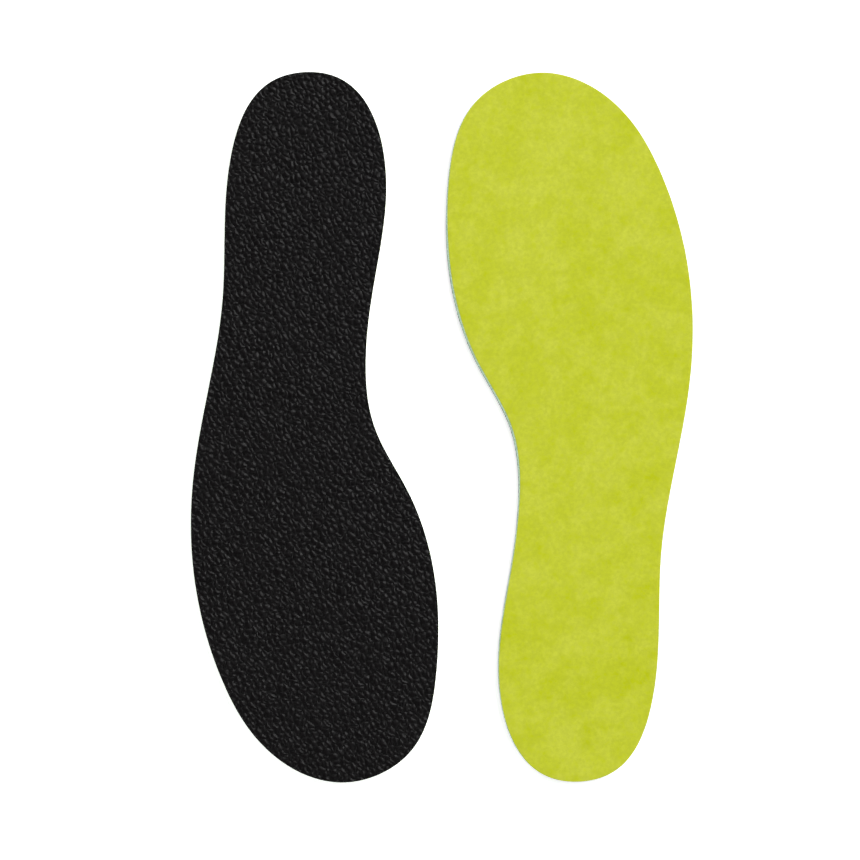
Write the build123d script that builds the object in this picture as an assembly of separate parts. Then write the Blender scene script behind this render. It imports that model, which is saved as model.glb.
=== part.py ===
"""A pair of cushioned insoles lying flat side by side, as an assembly of their real layers.

Each insole is a laminate: a velour cover, a glue film, an open-cell foam core, a second
glue film and a grained base. The right insole lies with its cover up and its toe to +Y.
The left insole lies turned over, base up, with its toe to -Y. So the left insole is the
right one mirrored through the middle plane of its thickness and turned half round about Z.

The laminate bends under the ball of the foot. Each layer is therefore two solids, a rear
one (heel to ball) and a fore one (ball to toe), that meet in a rolling knuckle joint.

Frame: millimetres, +Z up, z = 0 on the surface that the pair lies on, origin midway
between the two insoles.
"""

import math
import os

from build123d import *

# Driving dimensions, in millimetres and degrees
INSOLE_LENGTH = 280.0
HEEL_AXIS_X = 53.6           # from the middle of the pair to the line through each heel
COVER_THICKNESS = 0.6
GLUE_THICKNESS = 0.1
FOAM_THICKNESS = 2.1
BASE_THICKNESS = 1.1

FLEX_STATION = 188.8         # where the flex line crosses the heel axis, from the heel
FLEX_SLANT = 17.5            # the flex line's angle from square across the insole
KNUCKLE_GAP = 0.3            # clearance between the two halves of the knuckle

# Layers from the ground side to the foot side
LAYERS = [
    ("base", BASE_THICKNESS),
    ("base_glue", GLUE_THICKNESS),
    ("foam_core", FOAM_THICKNESS),
    ("cover_glue", GLUE_THICKNESS),
    ("cover", COVER_THICKNESS),
]
INSOLE_THICKNESS = sum(thickness for _, thickness in LAYERS)

# The right insole's outline: (offset from the heel axis, station from the heel).
# Lateral is positive. The list runs from the heel up the lateral side, round the toe
# and back down the medial side with its arch.
OUTLINE = [
    (-1.0, 0.0),
    (18.0, 7.0),
    (30.0, 35.0),
    (33.0, 90.0),
    (44.5, 160.0),
    (44.0, 200.0),
    (33.0, 240.0),
    (16.5, 266.0),
    (-14.0, INSOLE_LENGTH),
    (-41.0, 268.0),
    (-51.5, 235.0),
    (-50.0, 195.0),
    (-40.0, 165.0),
    (-27.0, 140.0),
    (-23.5, 115.0),
    (-26.5, 85.0),
    (-31.0, 35.0),
    (-19.5, 7.0),
]


def insole_face():
    """The right insole's outline as a flat face on z = 0, in the pair's frame."""
    points = [(HEEL_AXIS_X + x, station - INSOLE_LENGTH / 2) for x, station in OUTLINE]
    edge = Edge.make_spline([Vector(x, y, 0) for x, y in points], periodic=True)
    return Face(Wire([edge]))


def layer_slab(face, bottom, thickness):
    """One layer of the right insole, uncut."""
    return extrude(Pos(0, 0, bottom) * face, amount=thickness, dir=(0, 0, 1))


def flex_frame():
    """The flex line's location: X along the line towards lateral, Y towards the toe."""
    at_heel_axis = Pos(HEEL_AXIS_X, FLEX_STATION - INSOLE_LENGTH / 2, INSOLE_THICKNESS / 2)
    return at_heel_axis * Rot(0, 0, -FLEX_SLANT)


def knuckle(radius):
    """Everything ahead of the flex line, with a round nose of this radius behind it."""
    reach = 2 * INSOLE_LENGTH
    ahead = Pos(0, reach / 2, 0) * Box(reach, reach, 2 * radius)
    nose = Rot(0, 90, 0) * Cylinder(radius, reach)
    return flex_frame() * (ahead + nose)


def right_insole():
    """The right insole's solids by name, rear and fore half of each layer."""
    face = insole_face()
    nose_radius = INSOLE_THICKNESS / 2
    fore_cutter = knuckle(nose_radius)
    rear_cutter = knuckle(nose_radius + KNUCKLE_GAP)
    solids = {}
    bottom = 0.0
    for layer, thickness in LAYERS:
        slab = layer_slab(face, bottom, thickness)
        solids[f"{layer}_rear"] = slab - rear_cutter
        solids[f"{layer}_fore"] = slab & fore_cutter
        bottom += thickness
    return solids


def turned_over(solid):
    """The left insole's copy of a right solid: face down, toe to -Y."""
    middle = Plane.XY.offset(INSOLE_THICKNESS / 2)
    return Rot(0, 0, 180) * mirror(solid, about=middle)


def main():
    os.makedirs("parts", exist_ok=True)
    for name, solid in right_insole().items():
        export_step(solid, f"parts/right_{name}.step")
        export_step(turned_over(solid), f"parts/left_{name}.step")
    slant = math.radians(FLEX_SLANT)
    print("flex axis direction", round(math.cos(slant), 5), round(-math.sin(slant), 5))


main()
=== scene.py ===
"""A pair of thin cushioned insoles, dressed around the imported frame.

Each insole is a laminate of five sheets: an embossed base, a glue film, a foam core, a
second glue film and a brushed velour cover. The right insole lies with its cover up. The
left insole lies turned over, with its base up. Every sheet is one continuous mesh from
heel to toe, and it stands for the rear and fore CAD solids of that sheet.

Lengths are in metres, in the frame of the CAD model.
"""

import logging
import math
from dataclasses import dataclass, field
from enum import Enum

import bpy
import numpy as np
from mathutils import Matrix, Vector
from mathutils.geometry import delaunay_2d_cdt
from mathutils.kdtree import KDTree


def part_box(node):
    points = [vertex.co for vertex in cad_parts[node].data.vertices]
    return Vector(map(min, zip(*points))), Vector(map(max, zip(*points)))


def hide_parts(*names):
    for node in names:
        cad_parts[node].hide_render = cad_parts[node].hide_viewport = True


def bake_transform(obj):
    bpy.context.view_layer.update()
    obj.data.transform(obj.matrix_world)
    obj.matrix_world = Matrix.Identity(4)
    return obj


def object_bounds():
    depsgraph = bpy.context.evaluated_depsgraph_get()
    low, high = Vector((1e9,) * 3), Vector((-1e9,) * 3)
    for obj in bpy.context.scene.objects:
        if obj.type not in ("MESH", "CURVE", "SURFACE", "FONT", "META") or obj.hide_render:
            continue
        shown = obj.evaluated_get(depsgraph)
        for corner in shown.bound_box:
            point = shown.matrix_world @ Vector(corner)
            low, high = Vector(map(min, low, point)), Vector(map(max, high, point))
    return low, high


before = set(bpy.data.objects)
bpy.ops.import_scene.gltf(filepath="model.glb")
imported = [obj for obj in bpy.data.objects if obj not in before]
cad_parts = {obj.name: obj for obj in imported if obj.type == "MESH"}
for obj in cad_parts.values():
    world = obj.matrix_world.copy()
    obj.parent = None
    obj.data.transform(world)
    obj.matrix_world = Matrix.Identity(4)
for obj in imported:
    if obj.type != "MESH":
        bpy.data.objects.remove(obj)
CAD_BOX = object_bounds()

LOG = logging.getLogger("insoles")

MM = 0.001
Array = np.ndarray
Colour = tuple[float, float, float]

# Names of the values that each mesh carries for its material
REST_PLACE = "rest_place"
OPEN_CELLS = "open_cells"
EDGE_DEPTH = "edge_depth"

# Corners of the CAD solids nearer than these are level with one another, or the same corner
LEVEL_SLACK = 0.001 * MM
SAME_CORNER = 0.05 * MM


class Side(Enum):
    """Which insole of the pair, as its CAD nodes and bodies are named."""

    RIGHT = "right"
    LEFT = "left"


class Sheet(Enum):
    """The five sheets of the laminate, as their CAD nodes are named."""

    BASE = "base"
    BASE_GLUE = "base_glue"
    FOAM_CORE = "foam_core"
    COVER_GLUE = "cover_glue"
    COVER = "cover"


def put(name: str, data: bpy.types.ID) -> bpy.types.Object:
    """A new object in the scene.

    Args:
        name: its name.
        data: its mesh, light or camera.

    Returns:
        The object.
    """
    thing = bpy.data.objects.new(name, data)
    bpy.context.scene.collection.objects.link(thing)
    return thing


# ---------------------------------------------------------------- seeded noise


def hashed(across: Array, along: Array, seed: int) -> Array:
    """Even random numbers from 0 to 1, fixed by a whole-number cell and a seed.

    Args:
        across: the cell's first index.
        along: the cell's second index.
        seed: which of many unrelated patterns.

    Returns:
        One number for each cell.
    """
    a = across.astype(np.int64).astype(np.uint64)
    b = along.astype(np.int64).astype(np.uint64)
    mixed = a * np.uint64(374761393) + b * np.uint64(668265263) + np.uint64(seed * 2246822519 + 1013)
    mixed = mixed & np.uint64(0xFFFFFFFF)
    mixed = ((mixed ^ (mixed >> np.uint64(13))) * np.uint64(1274126177)) & np.uint64(0xFFFFFFFF)
    mixed = ((mixed ^ (mixed >> np.uint64(16))) * np.uint64(2654435761)) & np.uint64(0xFFFFFFFF)
    mixed = mixed ^ (mixed >> np.uint64(15))
    return mixed.astype(float) / 0xFFFFFFFF


def swell(points: Array, cell: float, seed: int) -> Array:
    """Smooth noise from -1 to 1 whose hills are about one cell wide.

    Args:
        points: places in the plane, N by 2.
        cell: the width of a hill.
        seed: which pattern.

    Returns:
        The noise at each point.
    """
    grid = points / cell
    low = np.floor(grid)
    part = grid - low
    ease = part * part * part * (part * (part * 6 - 15) + 10)
    corner = [
        [hashed(low[:, 0] + i, low[:, 1] + j, seed) for i in (0, 1)] for j in (0, 1)
    ]
    near = corner[0][0] * (1 - ease[:, 0]) + corner[0][1] * ease[:, 0]
    far = corner[1][0] * (1 - ease[:, 0]) + corner[1][1] * ease[:, 0]
    return 2 * (near * (1 - ease[:, 1]) + far * ease[:, 1]) - 1


# ---------------------------------------------------------------- outline


@dataclass(frozen=True)
class Outline:
    """A sheet's closed outline in plan, anticlockwise, at even steps.

    Attributes:
        points: N by 2.
        outward: the unit normal at each point, N by 2.
        tree: the points, for finding the nearest one.
    """

    points: Array
    outward: Array
    tree: KDTree = field(repr=False)

    @classmethod
    def of_nodes(cls, rear: bpy.types.Object, fore: bpy.types.Object, step: float) -> "Outline":
        """The outline that a sheet's rear and fore CAD solids have together.

        Args:
            rear: the heel half, whose upper corners all lie on the outline.
            fore: the toe half, likewise.
            step: the distance between the outline's points.

        Returns:
            The outline, smooth through those corners and across the flex gap.
        """
        plan = []
        for node in (rear, fore):
            corners = np.array([v.co for v in node.data.vertices])
            upper = corners[:, 2] > corners[:, 2].max() - LEVEL_SLACK
            plan.append(corners[upper, :2])
        corners = np.unique(np.round(np.vstack(plan), 7), axis=0)
        spoke = corners - (corners.min(axis=0) + corners.max(axis=0)) / 2
        corners = corners[np.argsort(np.arctan2(spoke[:, 1], spoke[:, 0]))]
        apart = np.linalg.norm(corners - np.roll(corners, 1, axis=0), axis=1)
        return cls.through(corners[apart > SAME_CORNER], step)

    @classmethod
    def through(cls, corners: Array, step: float) -> "Outline":
        """A smooth closed curve through the corners, cut into even steps.

        Args:
            corners: places that the curve goes through in order, N by 2.
            step: the distance between the outline's points.

        Returns:
            The outline.
        """
        ahead = np.roll(corners, -1, axis=0)
        gap = np.linalg.norm(ahead - corners, axis=1)[:, None]
        slope = (ahead - corners) / gap
        gap_before = np.roll(gap, 1, axis=0)
        slope_before = np.roll(slope, 1, axis=0)
        tangent = (slope_before * gap + slope * gap_before) / (gap + gap_before)
        tangent_ahead = np.roll(tangent, -1, axis=0)
        fine = []
        cuts_per_corner = 24
        for t in np.linspace(0, 1, cuts_per_corner, endpoint=False):
            start, end = 1 - 3 * t**2 + 2 * t**3, 3 * t**2 - 2 * t**3
            leave, arrive = t - 2 * t**2 + t**3, t**3 - t**2
            fine.append(start * corners + end * ahead + gap * (leave * tangent + arrive * tangent_ahead))
        dense = np.stack(fine, axis=1).reshape(-1, 2)
        closed = np.vstack([dense, dense[:1]])
        walked = np.append(0, np.cumsum(np.linalg.norm(np.diff(closed, axis=0), axis=1)))
        marks = np.linspace(0, walked[-1], round(walked[-1] / step), endpoint=False)
        points = np.stack([np.interp(marks, walked, closed[:, k]) for k in (0, 1)], axis=1)
        along = np.roll(points, -2, axis=0) - np.roll(points, 2, axis=0)
        along /= np.linalg.norm(along, axis=1)[:, None]
        tree = KDTree(len(points))
        for i, (x, y) in enumerate(points):
            tree.insert((x, y, 0), i)
        tree.balance()
        return cls(points, np.stack([along[:, 1], -along[:, 0]], axis=1), tree)

    def grown(self, amount: Array | float) -> Array:
        """The outline's points moved outward by an amount, N by 2."""
        return self.points + self.outward * np.reshape(amount, (-1, 1))

    def depth(self, points: Array) -> Array:
        """How far inside the outline each point is.

        Args:
            points: places in the plane, N by 2.

        Returns:
            The distance from the outline, below zero outside it.
        """
        found = [self.tree.find((x, y, 0)) for x, y in points]
        index = np.array([f[1] for f in found])
        distance = np.array([f[2] for f in found])
        outside = np.sum((points - self.points[index]) * self.outward[index], axis=1) > 0
        return np.where(outside, -distance, distance)

    def area(self) -> float:
        """The area inside the outline."""
        x, y = self.points.T
        return 0.5 * abs(float(np.sum(x * np.roll(y, -1) - y * np.roll(x, -1))))

    def size(self) -> tuple[float, float]:
        """The outline's width across and length along."""
        width, length = self.points.max(axis=0) - self.points.min(axis=0)
        return float(width), float(length)


# ---------------------------------------------------------------- node helper


class Nodes:
    """A small helper that adds and joins the nodes of one tree."""

    def __init__(self, tree: bpy.types.NodeTree) -> None:
        """Takes the tree to add to."""
        self.tree = tree

    def add(self, kind: str, **settings: object) -> bpy.types.Node:
        """A new node of a kind.

        Args:
            kind: Blender's name for the node's type.
            settings: properties to set on it.

        Returns:
            The node.
        """
        node = self.tree.nodes.new(kind)
        for name, value in settings.items():
            setattr(node, name, value)
        return node

    def feed(self, socket: bpy.types.NodeSocket, value: object) -> None:
        """Fills one socket.

        Args:
            socket: the socket to fill.
            value: another socket to join to it, or a plain value for it.
        """
        if isinstance(value, bpy.types.NodeSocket):
            self.tree.links.new(value, socket)
        else:
            socket.default_value = value

    def wire(self, node: bpy.types.Node, **values: object) -> bpy.types.Node:
        """Fills several of a node's sockets.

        Args:
            node: the node.
            values: what each socket takes, its name written with _ for each space.

        Returns:
            The same node.
        """
        for name, value in values.items():
            self.feed(node.inputs[name.replace("_", " ")], value)
        return node

    def sum_of(self, kind: str, operation: str, values: tuple[object, ...]) -> bpy.types.Node:
        """A node that works out one sum.

        Args:
            kind: Blender's name for the node's type.
            operation: Blender's name for the sum.
            values: what it works on, in order.

        Returns:
            The node.
        """
        node = self.add(kind, operation=operation)
        for socket, value in zip(node.inputs, values):
            self.feed(socket, value)
        return node

    def math(self, operation: str, *values: object) -> bpy.types.NodeSocket:
        """One sum on two or three values."""
        return self.sum_of("ShaderNodeMath", operation, values).outputs[0]

    def clamped(self, operation: str, *values: object) -> bpy.types.NodeSocket:
        """One sum on two values, kept between 0 and 1.

        Args:
            operation: Blender's name for the sum.
            values: the two values.

        Returns:
            The result.
        """
        node = self.sum_of("ShaderNodeMath", operation, values)
        node.use_clamp = True
        return node.outputs[0]

    def vector(self, operation: str, *values: object) -> bpy.types.NodeSocket:
        """One sum on vectors."""
        return self.sum_of("ShaderNodeVectorMath", operation, values).outputs[0]

    def dot(self, place: object, way: tuple[float, float, float]) -> bpy.types.NodeSocket:
        """How far along a direction a place is."""
        return self.sum_of("ShaderNodeVectorMath", "DOT_PRODUCT", (place, way)).outputs["Value"]

    def scaled(self, place: object, scale: object) -> bpy.types.NodeSocket:
        """A place multiplied by one number."""
        node = self.add("ShaderNodeVectorMath", operation="SCALE")
        return self.wire(node, Vector=place, Scale=scale).outputs[0]

    def cells(self, place: object, feature: str, looseness: float) -> bpy.types.Node:
        """Loosely packed cells in the plane, one to each unit square."""
        node = self.add("ShaderNodeTexVoronoi", voronoi_dimensions="2D", feature=feature)
        return self.wire(node, Vector=place, Scale=1.0, Randomness=looseness)

    def ramp(self, value: object, low: object, high: object) -> bpy.types.NodeSocket:
        """A value eased from 0 at low to 1 at high."""
        node = self.add("ShaderNodeMapRange", interpolation_type="SMOOTHSTEP")
        return self.wire(node, Value=value, From_Min=low, From_Max=high).outputs["Result"]

    def mix(self, share: object, first: object, second: object) -> bpy.types.NodeSocket:
        """Two colours mixed by a share.

        Args:
            share: 0 for the first colour only, 1 for the second only.
            first: the colour underneath.
            second: the colour on top.

        Returns:
            The mixed colour's socket.
        """
        node = self.add("ShaderNodeMix", data_type="RGBA")
        for socket, value in (("Factor_Float", share), ("A_Color", first), ("B_Color", second)):
            self.feed(next(s for s in node.inputs if s.identifier == socket), value)
        return next(s for s in node.outputs if s.identifier == "Result_Color")

    def tint(self, mask: object, share: float, under: object, over: Colour) -> bpy.types.NodeSocket:
        """One colour laid over another where a mask is 1, by a share."""
        return self.mix(self.math("MULTIPLY", mask, share), under, (*over, 1))

    def noise(
        self, place: object, scale: object, detail: float, roughness: float = 0.5, plane: bool = False
    ) -> bpy.types.NodeSocket:
        """Fractal noise from 0 to 1.

        Args:
            place: where.
            scale: how many hills to a unit of length.
            detail: how many finer layers lie on the first.
            roughness: how strong each finer layer is.
            plane: True to leave the height out.

        Returns:
            The noise.
        """
        node = self.add("ShaderNodeTexNoise", noise_dimensions="2D" if plane else "3D")
        return self.wire(node, Vector=place, Scale=scale, Detail=detail, Roughness=roughness).outputs[0]

    def stored(self, name: str) -> bpy.types.NodeSocket:
        """A value or place that the mesh carries."""
        node = self.add("ShaderNodeAttribute", attribute_name=name)
        return node.outputs["Vector" if name == REST_PLACE else "Fac"]

    def group(self, tree: bpy.types.NodeTree, **inputs: object) -> bpy.types.NodeSocket:
        """The output of a node group placed here, with its named inputs set or joined."""
        node = self.add("ShaderNodeGroup", node_tree=tree)
        return self.wire(node, **{name.capitalize(): value for name, value in inputs.items()}).outputs[0]


# ---------------------------------------------------------------- surface relief


@dataclass(frozen=True)
class Grain:
    """The pebble grain embossed in the base.

    The same nodes give its height to the mesh and to the finish, so the finish can add the
    detail that is too fine for the mesh in the right places.

    Attributes:
        pitch: the mean distance between pebbles.
        lean: the direction that the pebbles are stretched along, in degrees from +X.
        stretch: how much longer than wide they are.
        looseness: how far from a square grid their centres are, from 0 to 1.
        sway_scale: how many sways of their rows there are to a pitch.
        groove: how far a pebble's flank reaches, as a share of the pitch.
        spread: how far its dome reaches from its centre, as a share of the pitch.
        dome: the share of its height that it gains towards its centre.
        flood_scale: how many patches of run-together pebbles there are to a pitch.
        flood_from: the noise above which the valleys begin to fill up there.
        flooded: how strongly they fill up.
        unlike: how much pebbles differ in height.
        pit_scale: how many pits there are to a pitch.
        pitting: how uneven the pebbles' tops are.
        depth: how far the mesh's valleys lie below its highest pebbles.
    """

    pitch: float = 2.15 * MM
    lean: float = 118.0
    stretch: float = 1.18
    looseness: float = 0.79
    sway_scale: float = 0.75
    groove: float = 0.60
    spread: float = 0.95
    dome: float = 0.72
    flood_scale: float = 0.4
    flood_from: float = 0.53
    flooded: float = 0.7
    unlike: float = 0.15
    pit_scale: float = 3.0
    pitting: float = 0.22
    depth: float = 0.27 * MM

    def lay(self, nodes: "Nodes", place: bpy.types.NodeSocket) -> bpy.types.NodeSocket:
        """Adds the nodes that work out the embossed height.

        Args:
            nodes: the tree's helper.
            place: the place in the plane.

        Returns:
            The height, from 0 in a valley to 1 on a pebble.
        """
        lean = math.radians(self.lean)
        long_way = (math.cos(lean) / self.pitch / self.stretch, math.sin(lean) / self.pitch / self.stretch, 0)
        short_way = (-math.sin(lean) / self.pitch, math.cos(lean) / self.pitch, 0)
        grid = nodes.add("ShaderNodeCombineXYZ")
        nodes.wire(grid, X=nodes.dot(place, long_way), Y=nodes.dot(place, short_way))
        sway = nodes.add("ShaderNodeTexNoise", noise_dimensions="2D")
        nodes.wire(sway, Vector=grid.outputs[0], Scale=self.sway_scale, Detail=1.0)
        pull = nodes.vector("MULTIPLY_ADD", sway.outputs["Color"], (1.0, 1.0, 0), grid.outputs[0])
        near = nodes.cells(pull, "F1", self.looseness)
        next_near = nodes.cells(pull, "F2", self.looseness)
        gap = nodes.math("SUBTRACT", next_near.outputs["Distance"], near.outputs["Distance"])
        rim = nodes.clamped("DIVIDE", gap, self.groove)
        hollow = nodes.math("SUBTRACT", 1.0, rim)
        flank = nodes.math("SUBTRACT", 1.0, nodes.math("MULTIPLY", hollow, hollow))
        spread = nodes.math("DIVIDE", near.outputs["Distance"], self.spread)
        crown = nodes.clamped("SUBTRACT", 1.0, nodes.math("MULTIPLY", spread, spread))
        joined = nodes.noise(grid.outputs[0], self.flood_scale, 1.0, plane=True)
        floor = nodes.math("MULTIPLY", nodes.clamped("SUBTRACT", joined, self.flood_from), self.flooded)
        dome = nodes.math("MULTIPLY_ADD", crown, self.dome, 1 - self.dome)
        raised = nodes.math("MULTIPLY", flank, dome)
        raised = nodes.math("MULTIPLY_ADD", nodes.math("SUBTRACT", 1.0, floor), raised, floor)
        own = nodes.add("ShaderNodeSeparateXYZ")
        nodes.feed(own.inputs[0], near.outputs["Color"])
        own_height = nodes.math("MULTIPLY_ADD", own.outputs[0], self.unlike, 1 - self.unlike)
        raised = nodes.math("MULTIPLY", raised, own_height)
        uneven = nodes.noise(grid.outputs[0], self.pit_scale, 1.0, plane=True)
        return nodes.math("MULTIPLY_ADD", nodes.math("SUBTRACT", uneven, 0.5), self.pitting, raised)

    def height(self, points: Array) -> Array:
        """The embossed height at each point.

        Args:
            points: places in the plane, N by 2.

        Returns:
            The height, from 0 in a valley to 1 on a pebble.
        """
        tree = bpy.data.node_groups.new("emboss", "GeometryNodeTree")
        tree.interface.new_socket("Geometry", in_out="INPUT", socket_type="NodeSocketGeometry")
        tree.interface.new_socket("Geometry", in_out="OUTPUT", socket_type="NodeSocketGeometry")
        nodes = Nodes(tree)
        source, sink = nodes.add("NodeGroupInput"), nodes.add("NodeGroupOutput")
        place = nodes.add("GeometryNodeInputPosition").outputs[0]
        store = nodes.add("GeometryNodeStoreNamedAttribute", data_type="FLOAT", domain="POINT")
        nodes.wire(store, Name="height", Value=self.lay(nodes, place), Geometry=source.outputs[0])
        nodes.feed(sink.inputs[0], store.outputs[0])
        mesh = bpy.data.meshes.new("sample")
        mesh.from_pydata(np.column_stack([points, np.zeros(len(points))]).tolist(), [], [])
        sample = put("sample", mesh)
        sample.modifiers.new("emboss", "NODES").node_group = tree
        made = sample.evaluated_get(bpy.context.evaluated_depsgraph_get()).data
        height = np.zeros(len(points), dtype=np.float32)
        made.attributes["height"].data.foreach_get("value", height)
        bpy.data.objects.remove(sample)
        bpy.data.meshes.remove(mesh)
        bpy.data.node_groups.remove(tree)
        return np.clip(height, 0, 1)


@dataclass(frozen=True)
class Nap:
    """The brushed pile of the cover: low clumps with a fine tooth.

    Attributes:
        seed: which pile.
        depth: how far the pressed places lie below the highest pile.
        clumps: the width of each size of clump and its share of the unevenness.
    """

    seed: int
    depth: float = 0.14 * MM
    clumps: tuple[tuple[float, float], ...] = (
        (10.08 * MM, 0.22),
        (4.2 * MM, 0.26),
        (1.764 * MM, 0.22),
        (1.15 * MM, 0.24),
    )

    def height(self, points: Array) -> Array:
        """The pile's height at each point.

        Args:
            points: places in the plane, N by 2.

        Returns:
            The height, from 0 pressed down to 1 standing.
        """
        layers = [share * swell(points, width, self.seed + k) for k, (width, share) in enumerate(self.clumps)]
        total = sum(share for _, share in self.clumps)
        return np.clip(0.5 + 0.5 * sum(layers) / total, 0, 1)


# ---------------------------------------------------------------- slab meshes


@dataclass(frozen=True)
class EdgeStep:
    """One ring of a slab's edge, from the outer face round to the inner face.

    Attributes:
        inset: how far inside the outline the ring is, below zero where it bulges.
        height: the ring's height, from 0 at the inner face to 1 at the outer face.
        wander: how much of the cut edge's unevenness the ring takes.
    """

    inset: Array | float
    height: float
    wander: float = 1.0


def cut_profile(inset: Array | float, *steps: tuple[float, float]) -> tuple[EdgeStep, ...]:
    """The rings of a cut edge, from each one's further inset in millimetres and its height."""
    return tuple(EdgeStep(inset + deeper * MM, height) for deeper, height in steps)


@dataclass(frozen=True)
class Slab:
    """A closed sheet of even thickness with a relief on its outer face.

    Attributes:
        outline: its outline in plan.
        inner: the z of the face towards the core of the laminate.
        outer: the z of the face away from it.
        rings: its edge, from the outer face to the inner one.
        relief: the outer face's relief, sunk below it, or None for a plain face.
        pitch: the spacing of the outer face's points.
        wander: how far the cut edge strays from the outline.
        seed: which cut edge.

    HIDDEN_PITCH is the spacing of the points on a face that can't be seen. EDGE_GAP is how
    far a face's points keep from its edge and JITTER how far they stray from their lattice,
    both as shares of the spacing.
    """

    outline: Outline
    inner: float
    outer: float
    rings: tuple[EdgeStep, ...]
    relief: Grain | Nap | None
    pitch: float
    wander: float
    seed: int

    HIDDEN_PITCH = 3.0 * MM
    EDGE_GAP = 0.55
    JITTER = 0.12

    def mesh(self, name: str) -> bpy.types.Mesh:
        """The slab as a closed mesh with its rest places and masks.

        Args:
            name: the mesh's name.

        Returns:
            The mesh.
        """
        thickness = abs(self.outer - self.inner)
        stray = self.wander * self.cut_edge()
        count = len(self.outline.points)
        plans = [self.outline.grown(stray * ring.wander - ring.inset) for ring in self.rings]
        heights = [np.full(count, ring.height * thickness) for ring in self.rings]
        outer_fill, outer_faces = self.cap(plans[0], self.pitch)
        inner_fill, inner_faces = self.cap(plans[-1], self.HIDDEN_PITCH)
        plan = np.vstack([*plans, outer_fill, inner_fill])
        height = np.concatenate(
            [*heights, np.full(len(outer_fill), thickness), np.zeros(len(inner_fill))]
        )
        if self.relief:
            outermost = np.clip(height / thickness, 0, 1) ** 3
            height = height - self.relief.depth * outermost * (1 - self.relief.height(plan))
        faces = self.walls(count)
        first = count * len(self.rings)
        faces += self.joined(outer_faces, 0, count, first)
        last_ring = count * (len(self.rings) - 1)
        inner_first = first + len(outer_fill)
        faces += [face[::-1] for face in self.joined(inner_faces, last_ring, count, inner_first)]
        if self.outer < self.inner:
            faces = [face[::-1] for face in faces]
        z = self.inner + math.copysign(1, self.outer - self.inner) * height
        mesh = bpy.data.meshes.new(name)
        mesh.from_pydata(np.column_stack([plan, z]).tolist(), [], faces)
        self.note(mesh, REST_PLACE, np.column_stack([plan, z]))
        self.note(mesh, EDGE_DEPTH, np.clip(self.outline.depth(plan) / MM, 0, 20))
        mesh.shade_smooth()
        mesh.update()
        return mesh

    def cut_edge(self) -> Array:
        """The unevenness of the cut along the outline.

        Returns:
            How far the knife strayed at each point, from -1 to 1.
        """
        long_waves = swell(self.outline.points, 5.0 * MM, self.seed)
        short_waves = swell(self.outline.points, 1.1 * MM, self.seed + 1)
        return 0.65 * long_waves + 0.35 * short_waves

    def cap(self, ring: Array, pitch: float) -> tuple[Array, list[tuple[int, ...]]]:
        """Even points inside a ring, and the triangles that join them and the ring.

        Args:
            ring: the closed ring around the face, N by 2.
            pitch: the spacing of the points.

        Returns:
            The points inside, and triangles that number the ring's points first.
        """
        low, high = ring.min(axis=0), ring.max(axis=0)
        rows = np.arange(low[1], high[1], pitch * math.sqrt(3) / 2)
        lattice = [
            np.column_stack([x, np.full(len(x), y)])
            for i, y in enumerate(rows)
            for x in [np.arange(low[0] + (i % 2) * pitch / 2, high[0], pitch)]
        ]
        points = np.vstack(lattice)
        margin = float(np.max(self.rings[0].inset)) + self.EDGE_GAP * pitch
        points = points[self.outline.depth(points) > margin]
        points = points + self.JITTER * pitch * np.stack(
            [2 * hashed(points[:, 0] / (0.1 * MM), points[:, 1] / (0.1 * MM), k) - 1 for k in (7, 8)],
            axis=1,
        )
        count = len(ring)
        border = [(i, (i + 1) % count) for i in range(count)]
        corners = [Vector(p) for p in np.vstack([ring, points])]
        found = delaunay_2d_cdt(corners, border, [], 1, 1e-9, False)
        if len(found[0]) != len(corners):
            raise ValueError("the face's points changed while they were joined")
        return points, [tuple(face) for face in found[2] if self.inside(face, count)]

    @staticmethod
    def inside(face: list[int], count: int) -> bool:
        """Whether a triangle lies inside the ring and not in a hollow beside it.

        Args:
            face: the triangle's points, anticlockwise.
            count: the number of points in the ring, which come first.

        Returns:
            True if it lies inside.
        """
        if max(face) >= count:
            return True
        start = face.index(min(face))
        return face[start - 2] < face[start - 1]

    def walls(self, count: int) -> list[tuple[int, ...]]:
        """The sides of the slab.

        Args:
            count: the number of points in a ring.

        Returns:
            Four-sided faces between each ring and the next.
        """
        faces = []
        for ring in range(len(self.rings) - 1):
            upper, lower = ring * count, (ring + 1) * count
            for i in range(count):
                j = (i + 1) % count
                faces.append((upper + j, upper + i, lower + i, lower + j))
        return faces

    @staticmethod
    def joined(faces: list[tuple[int, ...]], ring: int, count: int, first: int) -> list[tuple[int, ...]]:
        """A cap's triangles, numbered as the slab numbers its points.

        Args:
            faces: triangles that number the ring's points first.
            ring: the number of the ring's first point in the slab.
            count: the number of points in the ring.
            first: the number of the first point inside the ring in the slab.

        Returns:
            The same triangles in the slab's numbers.
        """
        return [tuple(ring + k if k < count else first + k - count for k in face) for face in faces]

    @staticmethod
    def note(mesh: bpy.types.Mesh, name: str, values: Array) -> None:
        """Stores a value or a place for each point of a mesh.

        Args:
            mesh: the mesh.
            name: the name that its material reads.
            values: N values, or N by 3 for places.
        """
        if values.ndim == 1:
            mesh.attributes.new(name, "FLOAT", "POINT").data.foreach_set("value", values.astype(np.float32))
        else:
            store = mesh.attributes.new(name, "FLOAT_VECTOR", "POINT")
            store.data.foreach_set("vector", values.astype(np.float32).ravel())


# ---------------------------------------------------------------- node groups


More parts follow.
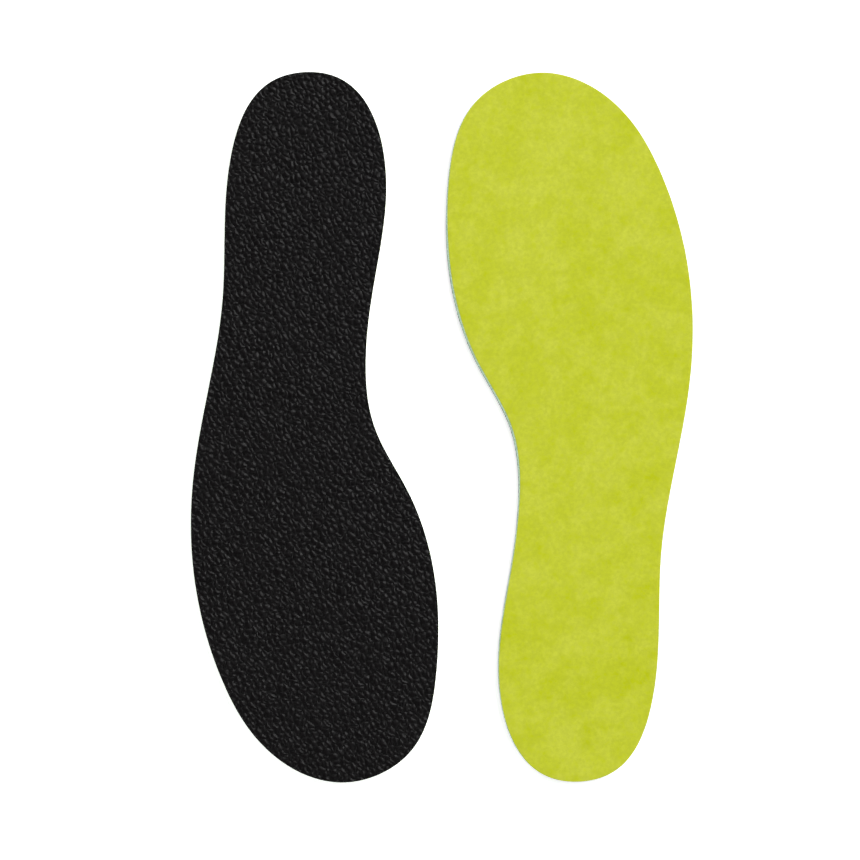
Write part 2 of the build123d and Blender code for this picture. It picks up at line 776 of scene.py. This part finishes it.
def new_group(
    name: str, output: str, **inputs: float | None
) -> tuple[Nodes, dict[str, bpy.types.NodeSocket], bpy.types.NodeSocket]:
    """An empty shader node group with named sockets.

    Args:
        name: the group's name.
        output: its output's name.
        inputs: each input's name and default, or None for a place.

    Returns:
        A helper for its tree, its input sockets by name, and its output socket.
    """
    tree = bpy.data.node_groups.new(name, "ShaderNodeTree")
    for label, default in inputs.items():
        kind = "NodeSocketVector" if default is None else "NodeSocketFloat"
        socket = tree.interface.new_socket(label.capitalize(), in_out="INPUT", socket_type=kind)
        if default is not None:
            socket.default_value = default
    tree.interface.new_socket(output, in_out="OUTPUT", socket_type="NodeSocketFloat")
    nodes = Nodes(tree)
    source, sink = nodes.add("NodeGroupInput"), nodes.add("NodeGroupOutput")
    return nodes, {s.name.lower(): s for s in source.outputs}, sink.inputs[0]


@dataclass
class Effects:
    """The shader node groups that more than one finish uses, each built once."""

    blotches: bpy.types.NodeTree = field(init=False)
    tooth: bpy.types.NodeTree = field(init=False)
    cut_edge: bpy.types.NodeTree = field(init=False)

    def __post_init__(self) -> None:
        """Builds the groups."""
        self.blotches = self.build_blotches()
        self.tooth = self.build_tooth()
        self.cut_edge = self.build_cut_edge()

    @staticmethod
    def build_blotches() -> bpy.types.NodeTree:
        """Soft cloudy patches, as a mask from 0 to 1.

        Returns:
            The group, whose Size is the clouds' width in millimetres.
        """
        nodes, given, mask = new_group("soft_blotches", "Mask", place=None, size=6.0, low=0.35, high=0.65)
        scale = nodes.math("DIVIDE", 1 / MM, given["size"])
        cloud = nodes.noise(nodes.scaled(given["place"], scale), 1.0, 4.0, 0.58)
        nodes.feed(mask, nodes.ramp(cloud, given["low"], given["high"]))
        return nodes.tree

    @staticmethod
    def build_tooth() -> bpy.types.NodeTree:
        """Fine surface tooth, as a height from 0 to 1.

        Returns:
            The group, whose Size is the specks' width in millimetres.
        """
        nodes, given, height = new_group("fine_tooth", "Height", place=None, size=0.3, sharpness=0.5)
        scale = nodes.math("DIVIDE", 1 / MM, given["size"])
        sized = nodes.scaled(given["place"], scale)
        soft = nodes.noise(sized, 1.0, 3.0, 0.6)
        specks = nodes.wire(nodes.add("ShaderNodeTexVoronoi", feature="F1"), Vector=sized, Scale=1.0)
        sharp = nodes.math("SUBTRACT", 1.0, specks.outputs["Distance"])
        blend = nodes.add("ShaderNodeMix", data_type="FLOAT")
        nodes.wire(blend, Factor=given["sharpness"], A=soft, B=sharp)
        nodes.feed(height, blend.outputs[0])
        return nodes.tree

    @staticmethod
    def build_cut_edge() -> bpy.types.NodeTree:
        """How near the die-cut edge a point is, as a mask from 0 to 1.

        Returns:
            The group, whose mask falls from 1 at the cut to 0 about Reach millimetres inside.
        """
        nodes, given, mask = new_group("cut_edge", "Mask", place=None, reach=1.0)
        ragged = nodes.noise(given["place"], 1 / (1.5 * MM), 2.0)
        wavering = nodes.math("MULTIPLY", given["reach"], nodes.math("ADD", 0.4, ragged))
        inside = nodes.ramp(nodes.stored(EDGE_DEPTH), 0.0, wavering)
        nodes.feed(mask, nodes.math("SUBTRACT", 1.0, inside))
        return nodes.tree


# ---------------------------------------------------------------- finishes


def new_material(name: str) -> tuple[bpy.types.Material, Nodes, bpy.types.Node]:
    """A material with one Principled BSDF.

    Args:
        name: the material's name.

    Returns:
        The material, a helper for its tree and its Principled node.
    """
    material = bpy.data.materials.new(name)
    material.use_nodes = True
    nodes = Nodes(material.node_tree)
    shader = next(n for n in material.node_tree.nodes if n.type == "BSDF_PRINCIPLED")
    return material, nodes, shader


def settle(shader: bpy.types.Node, **values: float | tuple[float, ...]) -> None:
    """Sets the shader's own sockets, named with _ for each space."""
    for name, value in values.items():
        shader.inputs[name.replace("_", " ")].default_value = value


def bump(
    nodes: Nodes, shader: bpy.types.Node, height: bpy.types.NodeSocket, rise: float, strength: float
) -> None:
    """Feeds a height into a shader's normal.

    Args:
        nodes: the material's helper.
        shader: its Principled node.
        height: the height, from 0 to 1.
        rise: the height's full rise in metres.
        strength: how much of the slope to show.
    """
    node = nodes.wire(nodes.add("ShaderNodeBump"), Height=height, Distance=rise, Strength=strength)
    nodes.feed(shader.inputs["Normal"], node.outputs["Normal"])


@dataclass(frozen=True)
class Patch:
    """One size of the velour's brushed patches: partly pressed pile, partly painted sheen.

    Attributes:
        size: their width in millimetres.
        low: the noise below which the pile is pressed.
        high: the noise above which it stands.
        share: how much of the difference between pressed and standing they make.
    """

    size: float
    low: float
    high: float
    share: float


@dataclass(frozen=True)
class VelourFinish:
    """Lime brushed velour: soft pile with pressed, more saturated patches, painted sheen where the pile
    stands, painted shade between tufts and fibres and a painted highlight at the cut edge.

    Attributes:
        standing: the colour where the pile stands, with the sheen of the nap painted in.
        pressed: the deeper colour where it is pressed or brushed the other way and shows less painted sheen.
        shaded: the painted shade between tufts.
        between: the painted shade between single fibres.
        rounded_edge_highlight: a painted highlight, paler and less saturated, where the pile rounds over at
            the cut edge.
        patches: the brushed patches, partly pressed pile and partly painted sheen, from the widest to the
            narrowest.
        plus_y_lightening: how much nearer the standing colour the pile is at +Y than at -Y.
    """

    standing: Colour = (0.698, 0.752, 0.066)
    pressed: Colour = (0.578, 0.652, 0.0015)
    shaded: Colour = (0.32, 0.38, 0.02)
    between: Colour = (0.30, 0.34, 0.02)
    rounded_edge_highlight: Colour = (0.58, 0.69, 0.25)
    patches: tuple[Patch, ...] = (
        Patch(22.0, 0.36, 0.64, 0.28),
        Patch(7.0, 0.40, 0.62, 0.34),
        Patch(3.0, 0.34, 0.48, 0.30),
    )
    plus_y_lightening: float = 0.15

    def material(self, effects: Effects) -> bpy.types.Material:
        """The finish as a material.

        Args:
            effects: the shared node groups.

        Returns:
            The material.
        """
        material, nodes, shader = new_material("lime_velour")
        place = nodes.stored(REST_PLACE)
        # The brushed patches are partly pressed pile and partly painted sheen of the nap, lighter where it
        # stands.
        brushed = 0.0
        for patch in self.patches:
            mask = nodes.group(effects.blotches, place=place, size=patch.size, low=patch.low, high=patch.high)
            brushed = nodes.math("MULTIPLY_ADD", mask, patch.share, brushed)
        # Lighter towards +Y and darker towards -Y, evenly along the insole.
        half_length = CAD_BOX[1].y
        along = nodes.ramp(nodes.dot(place, (0, 1, 0)), -half_length, half_length)
        brushed = nodes.math("MULTIPLY_ADD", along, self.plus_y_lightening, brushed)
        colour = nodes.mix(brushed, (*self.pressed, 1), (*self.standing, 1))
        # Painted shade between the tufts.
        tufts = nodes.group(effects.blotches, place=place, size=1.5, low=0.30, high=0.70)
        colour = nodes.tint(tufts, 0.20, colour, self.shaded)
        fibres = nodes.group(effects.tooth, place=place, size=0.55, sharpness=0.35)
        # Painted shade between single fibres; the same fibres also bump the normal.
        colour = nodes.tint(nodes.ramp(fibres, 0.3, 0.7), 0.07, colour, self.between)
        # Painted highlight where the pile rounds over at the cut edge.
        edge = nodes.group(effects.cut_edge, place=place, reach=0.8)
        colour = nodes.tint(edge, 0.6, colour, self.rounded_edge_highlight)
        nodes.feed(shader.inputs["Base Color"], colour)
        settle(shader, Roughness=0.92, Specular_IOR_Level=0.15, Sheen_Weight=0.18, Sheen_Roughness=0.55)
        settle(shader, Sheen_Tint=(0.95, 1.0, 0.62, 1))
        bump(nodes, shader, fibres, 0.12 * MM, 0.35)
        return material


@dataclass(frozen=True)
class GrainFinish:
    """Black embossed sheet: painted shade darkens the valleys, and the pebbles are slightly polished.

    Attributes:
        grain: the pebbles.
        crown: the colour on top of the pebbles.
        valley: the painted shade between them.
        cut: the colour of the cut edge, where the embossed skin ends.
        fine_rise: the rise of the pebbles' fine detail, which the mesh leaves out.
        roughness: how rough the valleys are.
        polish: how much less rough the pebbles are.
        wear: how much rougher the worn patches are.
    """

    grain: Grain = Grain()
    crown: Colour = (0.0026, 0.0017, 0.0021)
    valley: Colour = (0.0009, 0.0006, 0.0007)
    cut: Colour = (0.010, 0.010, 0.0105)
    fine_rise: float = 0.265 * MM
    roughness: float = 0.485
    polish: float = 0.06
    wear: float = 0.05

    def material(self, effects: Effects) -> bpy.types.Material:
        """The finish as a material.

        Args:
            effects: the shared node groups.

        Returns:
            The material.
        """
        material, nodes, shader = new_material("black_pebble_grain")
        place = nodes.stored(REST_PLACE)
        height = self.grain.lay(nodes, place)
        raised = nodes.ramp(height, 0.15, 0.85)
        # Painted shade: the valleys are coloured darker than the pebbles.
        colour = nodes.mix(raised, (*self.valley, 1), (*self.crown, 1))
        edge = nodes.group(effects.cut_edge, place=place, reach=0.12)
        colour = nodes.tint(edge, 0.7, colour, self.cut)
        nodes.feed(shader.inputs["Base Color"], colour)
        worn = nodes.group(effects.blotches, place=place, size=14.0, low=0.3, high=0.7)
        rough = nodes.math("MULTIPLY_ADD", raised, -self.polish, self.roughness)
        rough = nodes.math("MULTIPLY_ADD", worn, self.wear, rough)
        nodes.feed(shader.inputs["Roughness"], rough)
        settle(shader, Specular_IOR_Level=0.192)
        pores = nodes.group(effects.tooth, place=place, size=0.42, sharpness=0.45)
        detail = nodes.math("MULTIPLY_ADD", pores, 0.05, height)
        bump(nodes, shader, detail, self.fine_rise, 1.0)
        return material


@dataclass(frozen=True)
class FoamFinish:
    """Pale blue-green open-cell foam, with painted shade in its pores.

    Attributes:
        skin: the colour of the cell walls.
        pore_shade: the painted shade inside the pores.
        bloom: the colour of its paler clouds.
    """

    skin: Colour = (0.640, 0.830, 0.660)
    pore_shade: Colour = (0.340, 0.540, 0.430)
    bloom: Colour = (0.72, 0.86, 0.72)

    def material(self, effects: Effects) -> bpy.types.Material:
        """The finish as a material.

        Args:
            effects: the shared node groups.

        Returns:
            The material.
        """
        material, nodes, shader = new_material("pale_foam")
        place = nodes.stored(REST_PLACE)
        open_cells = nodes.ramp(nodes.stored(OPEN_CELLS), 0.2, 0.8)
        # Painted shade inside the open cells that the mesh sinks into the edge.
        colour = nodes.mix(open_cells, (*self.pore_shade, 1), (*self.skin, 1))
        cloud = nodes.group(effects.blotches, place=place, size=9.0, low=0.3, high=0.7)
        colour = nodes.tint(cloud, 0.12, colour, self.bloom)
        nodes.feed(shader.inputs["Base Color"], colour)
        settle(shader, Roughness=0.88, Specular_IOR_Level=0.25)
        cells = nodes.group(effects.tooth, place=place, size=0.22, sharpness=0.8)
        bump(nodes, shader, cells, 0.10 * MM, 0.6)
        return material


@dataclass(frozen=True)
class GlueFinish:
    """Dried adhesive film, off-white and a little glossy.

    Attributes:
        film: the film's colour.
        soiled: the colour where it has picked up dust at the edge.
    """

    film: Colour = (0.62, 0.64, 0.54)
    soiled: Colour = (0.34, 0.34, 0.27)

    def material(self, effects: Effects) -> bpy.types.Material:
        """The finish as a material.

        Args:
            effects: the shared node groups.

        Returns:
            The material.
        """
        material, nodes, shader = new_material("glue_film")
        place = nodes.stored(REST_PLACE)
        dusty = nodes.group(effects.blotches, place=place, size=3.0, low=0.35, high=0.7)
        colour = nodes.mix(dusty, (*self.film, 1), (*self.soiled, 1))
        nodes.feed(shader.inputs["Base Color"], colour)
        settle(shader, Roughness=0.42, Subsurface_Weight=0.2, Subsurface_Scale=0.5 * MM)
        specks = nodes.group(effects.tooth, place=place, size=0.5, sharpness=0.2)
        bump(nodes, shader, specks, 0.05 * MM, 0.4)
        return material


@dataclass(frozen=True)
class FloorFinish:
    """The pale, matt floor: a white table that is faintly lit from below.

    Attributes:
        paint: its colour.
        glow: how much light it gives of its own.
    """

    paint: Colour = (0.955, 0.955, 0.955)
    glow: float = 0.70

    def material(self) -> bpy.types.Material:
        """The finish as a material.

        Returns:
            The material.
        """
        material, _, shader = new_material("pale_floor")
        settle(shader, Base_Color=(*self.paint, 1), Roughness=1.0, Specular_IOR_Level=0.0)
        settle(shader, Emission_Color=(1, 1, 1, 1), Emission_Strength=self.glow)
        return material


# ---------------------------------------------------------------- sub-assemblies


@dataclass
class Finishes:
    """One material for each kind of sheet."""

    effects: Effects = field(default_factory=Effects)
    by_sheet: dict[Sheet, bpy.types.Material] = field(init=False)

    def __post_init__(self) -> None:
        """Makes the materials."""
        glue = GlueFinish().material(self.effects)
        self.by_sheet = {
            Sheet.BASE: GrainFinish().material(self.effects),
            Sheet.BASE_GLUE: glue,
            Sheet.FOAM_CORE: FoamFinish().material(self.effects),
            Sheet.COVER_GLUE: glue,
            Sheet.COVER: VelourFinish().material(self.effects),
        }


@dataclass
class Insole:
    """One insole: five continuous sheets, each from heel to toe.

    Attributes:
        side: which insole.
        seed: its own pattern of grain, pile and cut edges.
        bend: half the length over which the laminate would bend, each side of the flex line; not used.
        flare: how much further out the knife came through the base than through the cover.
        arch_flare: how much more than that it leaned in the hollow of the arch.
        recess: the share of that lean by which the foam stands back from the base's edge.
        foam_bulge: how far the foam's edge swells between the sheets that hold it.
        edge_step: the spacing of the points along the outline.
        pieces: the sheets made so far.

    FOAM_RINGS, FINE, PORE_DEPTH, PORE_GAP and SEALED shape the foam's cut edge: its rings,
    its finer point spacing, the depth and spacing of the cut cells and the closed margin.
    """

    side: Side
    seed: int
    bend: float = 12.0 * MM
    flare: float = 0.28 * MM
    arch_flare: float = 0.55 * MM
    recess: float = 0.15
    foam_bulge: float = 0.08 * MM
    edge_step: float = 0.55 * MM
    pieces: dict[Sheet, bpy.types.Object] = field(default_factory=dict)

    FOAM_RINGS = 11
    FINE = 0.6
    PORE_DEPTH = 0.16 * MM
    PORE_GAP = 0.38 * MM
    SEALED = 0.12 * MM

    def nodes_of(self, sheet: Sheet) -> tuple[str, str]:
        """The names of a sheet's rear and fore CAD nodes."""
        return f"{self.side.value}_{sheet.value}_rear", f"{self.side.value}_{sheet.value}_fore"

    def levels(self, sheet: Sheet) -> tuple[float, float]:
        """The levels of a sheet's faces.

        Args:
            sheet: which sheet.

        Returns:
            The z of its inner face, towards the foam, and of its outer face.
        """
        low, high = (corner.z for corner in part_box(self.nodes_of(sheet)[0]))
        core_low, core_high = (corner.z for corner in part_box(self.nodes_of(Sheet.FOAM_CORE)[0]))
        below = (low + high) / 2 < (core_low + core_high) / 2
        return (high, low) if below else (low, high)

    def outline(self, step: float) -> Outline:
        """The insole's outline, from the foam core's CAD solids."""
        rear, fore = (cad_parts[name] for name in self.nodes_of(Sheet.FOAM_CORE))
        return Outline.of_nodes(rear, fore, step)

    def lean(self, outline: Outline) -> Array:
        """How far the cut leans in from the base to the cover.

        It leans most in the hollow of the arch, between two places along the insole, and
        eases in and out of that.

        Args:
            outline: the insole's outline.

        Returns:
            The lean at each point of the outline.
        """
        way = 1 if self.side is Side.RIGHT else -1
        towards_arch = np.clip(-way * outline.outward[:, 0], 0, 1)
        along = way * outline.points[:, 1]
        start, end, ease = -45.0 * MM, 105.0 * MM, 45.0 * MM
        rise = np.clip((along - start) / ease, 0, 1) * np.clip((end - along) / ease, 0, 1)
        return self.flare + self.arch_flare * towards_arch * rise * rise * (3 - 2 * rise)

    def build(self) -> None:
        """Makes the five sheets."""
        outline = self.outline(self.edge_step)
        self.make(Sheet.BASE, self.base(outline))
        self.make(Sheet.BASE_GLUE, self.glue(outline, Sheet.BASE_GLUE))
        self.make(Sheet.FOAM_CORE, self.foam(self.outline(self.FINE * self.edge_step)))
        self.make(Sheet.COVER_GLUE, self.glue(outline, Sheet.COVER_GLUE))
        self.make(Sheet.COVER, self.cover(outline))

    def make(self, sheet: Sheet, mesh: bpy.types.Mesh) -> None:
        """Turns a mesh into the piece for a sheet."""
        self.pieces[sheet] = put(f"{self.side.value}_{sheet.value}_sheet", mesh)

    def base(self, outline: Outline) -> bpy.types.Mesh:
        """The embossed base, with its grain cut through at the edge.

        Args:
            outline: the insole's outline.

        Returns:
            Its mesh.
        """
        inner, outer = self.levels(Sheet.BASE)
        skin = ((0.42, 1.0), (0.20, 0.99), (0.08, 0.95), (0.015, 0.88))
        side = ((0.0, 0.74), (0.0, 0.40), (0.0, 0.10), (0.03, 0.0), (0.60, 0.0))
        rings = cut_profile(0.0, *skin, *side)
        slab = Slab(outline, inner, outer, rings, Grain(), 0.52 * MM, 0.035 * MM, self.seed + 20)
        return slab.mesh(f"{self.side.value}_base")

    def cover(self, outline: Outline) -> bpy.types.Mesh:
        """The velour cover, with its pile rounded over at the cut edge.

        Args:
            outline: the insole's outline.

        Returns:
            Its mesh.
        """
        inner, outer = self.levels(Sheet.COVER)
        pile = ((0.60, 1.0), (0.30, 0.97), (0.12, 0.88), (0.03, 0.74), (0.0, 0.55))
        back = ((0.02, 0.30), (0.05, 0.12), (0.07, 0.0), (0.60, 0.0))
        rings = cut_profile(self.lean(outline), *pile, *back)
        nap = Nap(seed=self.seed + 30)
        slab = Slab(outline, inner, outer, rings, nap, 0.70 * MM, 0.05 * MM, self.seed + 40)
        return slab.mesh(f"{self.side.value}_cover")

    def glue(self, outline: Outline, sheet: Sheet) -> bpy.types.Mesh:
        """A glue film, which stops just short of the edge in places.

        Args:
            outline: the insole's outline.
            sheet: which film.

        Returns:
            Its mesh.
        """
        inner, outer = self.levels(sheet)
        inset = self.lean(outline) * (1.0 if sheet is Sheet.COVER_GLUE else self.recess)
        within = inset + 0.80 * MM
        film = cut_profile(inset, (0.10, 1.0), (0.06, 0.5), (0.10, 0.0))
        rings = (EdgeStep(within, 1.0, 0.0), *film, EdgeStep(within, 0.0, 0.0))
        slab = Slab(outline, inner, outer, rings, None, Slab.HIDDEN_PITCH, 0.09 * MM, self.seed + 50)
        return slab.mesh(f"{self.side.value}_{sheet.value}")

    def foam(self, outline: Outline) -> bpy.types.Mesh:
        """The foam core, whose cut edge swells out between the sheets.

        Args:
            outline: the insole's outline.

        Returns:
            Its mesh.
        """
        inner, outer = self.levels(Sheet.FOAM_CORE)
        cover_up = self.levels(Sheet.COVER)[1] > outer
        lean = self.lean(outline)
        swelling = []
        for k in range(self.FOAM_RINGS):
            down = k / (self.FOAM_RINGS - 1)
            from_cover = down if cover_up else 1 - down
            swell_out = self.foam_bulge * math.sin(math.pi * from_cover) ** 0.6
            stood_back = lean * (self.recess + (1 - self.recess) * (1 - from_cover))
            swelling.append(EdgeStep(stood_back - swell_out, 1 - down))
        within = lean + 0.80 * MM
        rings = (EdgeStep(within, 1.0, 0.0), *swelling, EdgeStep(within, 0.0, 0.0))
        slab = Slab(outline, inner, outer, rings, None, Slab.HIDDEN_PITCH, 0.03 * MM, self.seed + 60)
        mesh = slab.mesh(f"{self.side.value}_foam_core")
        self.open_pores(mesh, outline, inner, outer)
        return mesh

    def open_pores(self, mesh: bpy.types.Mesh, outline: Outline, inner: float, outer: float) -> None:
        """Sinks the cut cells of the foam into its edge.

        Args:
            mesh: the foam core.
            outline: its outline.
            inner: the z of one face.
            outer: the z of the other.
        """
        low, high = min(inner, outer), max(inner, outer)
        places = np.array([v.co for v in mesh.vertices])
        per_ring = len(outline.points)
        wall = np.arange(per_ring, per_ring * (1 + self.FOAM_RINGS))
        draws = np.random.default_rng(self.seed + 70)
        count = round(per_ring * self.edge_step * self.FINE * (high - low) / self.PORE_GAP**2)
        at = draws.integers(0, per_ring, count)
        level = draws.uniform(low + self.SEALED, high - self.SEALED, count)
        cover_side = self.levels(Sheet.COVER)[0]
        from_base = 1 - np.abs(level - cover_side) / (high - low)
        out = self.foam_bulge * 0.8 - self.lean(outline)[at] * np.clip(from_base, 0, 1)
        bulged = outline.points[at] + outline.outward[at] * out[:, None]
        radius = draws.uniform(0.10, 0.27, count) * MM
        tree = KDTree(count)
        for i in range(count):
            tree.insert((*bulged[i], level[i]), i)
        tree.balance()
        masks = np.ones(len(places))
        for k in wall:
            _, i, gap = tree.find(places[k])
            open_part = max(0.0, 1 - (gap / (1.5 * radius[i])) ** 2)
            places[k, :2] -= outline.outward[k % per_ring] * open_part * self.PORE_DEPTH
            masks[k] = 1 - open_part
        mesh.vertices.foreach_set("co", places.astype(np.float32).ravel())
        # This mask carries the painted shade of the open cells to the foam's finish.
        Slab.note(mesh, OPEN_CELLS, masks)
        mesh.update()

    def dress(self, finishes: Finishes) -> None:
        """Gives each sheet its finish, hides the CAD solids that it stands for and bakes its transform.

        Args:
            finishes: the materials.
        """
        outline = self.outline(self.edge_step)
        for sheet, piece in self.pieces.items():
            piece.data.materials.append(finishes.by_sheet[sheet])
            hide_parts(*self.nodes_of(sheet))
            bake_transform(piece)
        for sheet in (Sheet.BASE, Sheet.COVER):
            outline.size()
            outline.area()


# ---------------------------------------------------------------- studio


@dataclass(frozen=True)
class Softbox:
    """A square soft light aimed at the middle of the pair.

    Attributes:
        name: what the light is for.
        bearing: the compass side it stands on, in degrees anticlockwise from +X.
        elevation: its height above the floor, in degrees.
        distance: its distance from the pair.
        size: the side of the square.
        share: how bright it alone would make a white floor, where 1 is white.
    """

    name: str
    bearing: float
    elevation: float
    distance: float
    size: float
    share: float

    def hang(self, target: Vector) -> None:
        """Puts the light in the scene.

        Args:
            target: where it is aimed.
        """
        bearing, up = math.radians(self.bearing), math.radians(self.elevation)
        light = bpy.data.lights.new(self.name, "AREA")
        light.shape, light.size = "SQUARE", self.size
        # It makes a white floor as bright as energy * sin(up) / (pi * distance) ** 2
        light.energy = self.share * math.pi**2 * self.distance**2 / math.sin(up)
        lamp = put(self.name, light)
        away = Vector((math.cos(bearing) * math.cos(up), math.sin(bearing) * math.cos(up), math.sin(up)))
        lamp.location = target + away * self.distance
        lamp.rotation_euler = away.to_track_quat("Z", "Y").to_euler()


@dataclass
class Studio:
    """A pale floor, soft lights and a camera straight above the pair.

    Attributes:
        floor_half: half the side of the square floor.
        camera_height: the camera's height above the floor.
        camera_shift: how far the camera stands off the middle of the pair, in plan.
        view_width: the width that it sees at the level of the top faces.
        walls: the brightness of the room's walls, level with the floor.
        ceiling: the brightness of its ceiling.
        cove: the climbs between which the walls give way to the ceiling, from 0 to 1.
        lights: the soft lights.
    """

    floor_half: float = 12.0
    camera_height: float = 0.90
    camera_shift: tuple[float, float] = (-4.8 * MM, -1.1 * MM)
    view_width: float = 338.7 * MM
    walls: float = 0.76
    ceiling: float = 0.035
    cove: tuple[float, float] = (0.02, 0.42)
    lights: tuple[Softbox, ...] = (
        Softbox("key", 45, 50, 6.4, 2.2, 0.66),
        Softbox("fill", 225, 24, 3.2, 1.6, 0.08),
        Softbox("side", 135, 24, 3.2, 1.6, 0.06),
        Softbox("front", 315, 24, 3.2, 1.6, 0.06),
    )

    def build(self) -> None:
        """Sets up the floor, lights, room and camera."""
        low, high = CAD_BOX
        middle = (low + high) / 2
        self.lay_floor()
        for light in self.lights:
            light.hang(middle)
        self.light_room()
        self.set_camera(middle, high.z)
        bpy.context.scene.view_settings.view_transform = "Standard"

    def light_room(self) -> None:
        """A room whose walls are as pale as the floor and whose ceiling is dim."""
        world = bpy.data.worlds.new("room")
        world.use_nodes = True
        nodes = Nodes(world.node_tree)
        background = next(n for n in world.node_tree.nodes if n.type == "BACKGROUND")
        background.inputs["Color"].default_value = (1, 1, 1, 1)
        way = nodes.add("ShaderNodeTexCoord").outputs["Generated"]
        climb = nodes.ramp(nodes.dot(way, (0, 0, 1)), *self.cove)
        strength = nodes.math("MULTIPLY_ADD", climb, self.ceiling - self.walls, self.walls)
        nodes.feed(background.inputs["Strength"], strength)
        bpy.context.scene.world = world

    def lay_floor(self) -> None:
        """A large plain sheet just under the pair."""
        half, drop = self.floor_half, -0.02 * MM
        mesh = bpy.data.meshes.new("floor")
        corners = [(-half, -half, drop), (half, -half, drop), (half, half, drop), (-half, half, drop)]
        mesh.from_pydata(corners, [], [(0, 1, 2, 3)])
        mesh.materials.append(FloorFinish().material())
        put("floor", mesh)

    def set_camera(self, middle: Vector, top: float) -> None:
        """A camera that looks straight down.

        Args:
            middle: the middle of the pair.
            top: the level of its top faces.
        """
        data = bpy.data.cameras.new("camera")
        data.lens = data.sensor_width * (self.camera_height - top) / self.view_width
        data.clip_start = 10 * MM
        camera = put("camera", data)
        across, along = self.camera_shift
        camera.location = (middle.x + across, middle.y + along, self.camera_height)
        bpy.context.scene.camera = camera


def main() -> None:
    """Builds the pair, dresses it and sets up the studio."""
    logging.basicConfig(level=logging.INFO, format="%(name)s: %(message)s")
    finishes = Finishes()
    for side, seed in ((Side.RIGHT, 100), (Side.LEFT, 300)):
        insole = Insole(side, seed)
        insole.build()
        insole.dress(finishes)
        for piece in insole.pieces.values():
            LOG.info("%s: %d points", piece.name, len(piece.data.vertices))
    Studio().build()


if __name__ == "__main__":
    main()
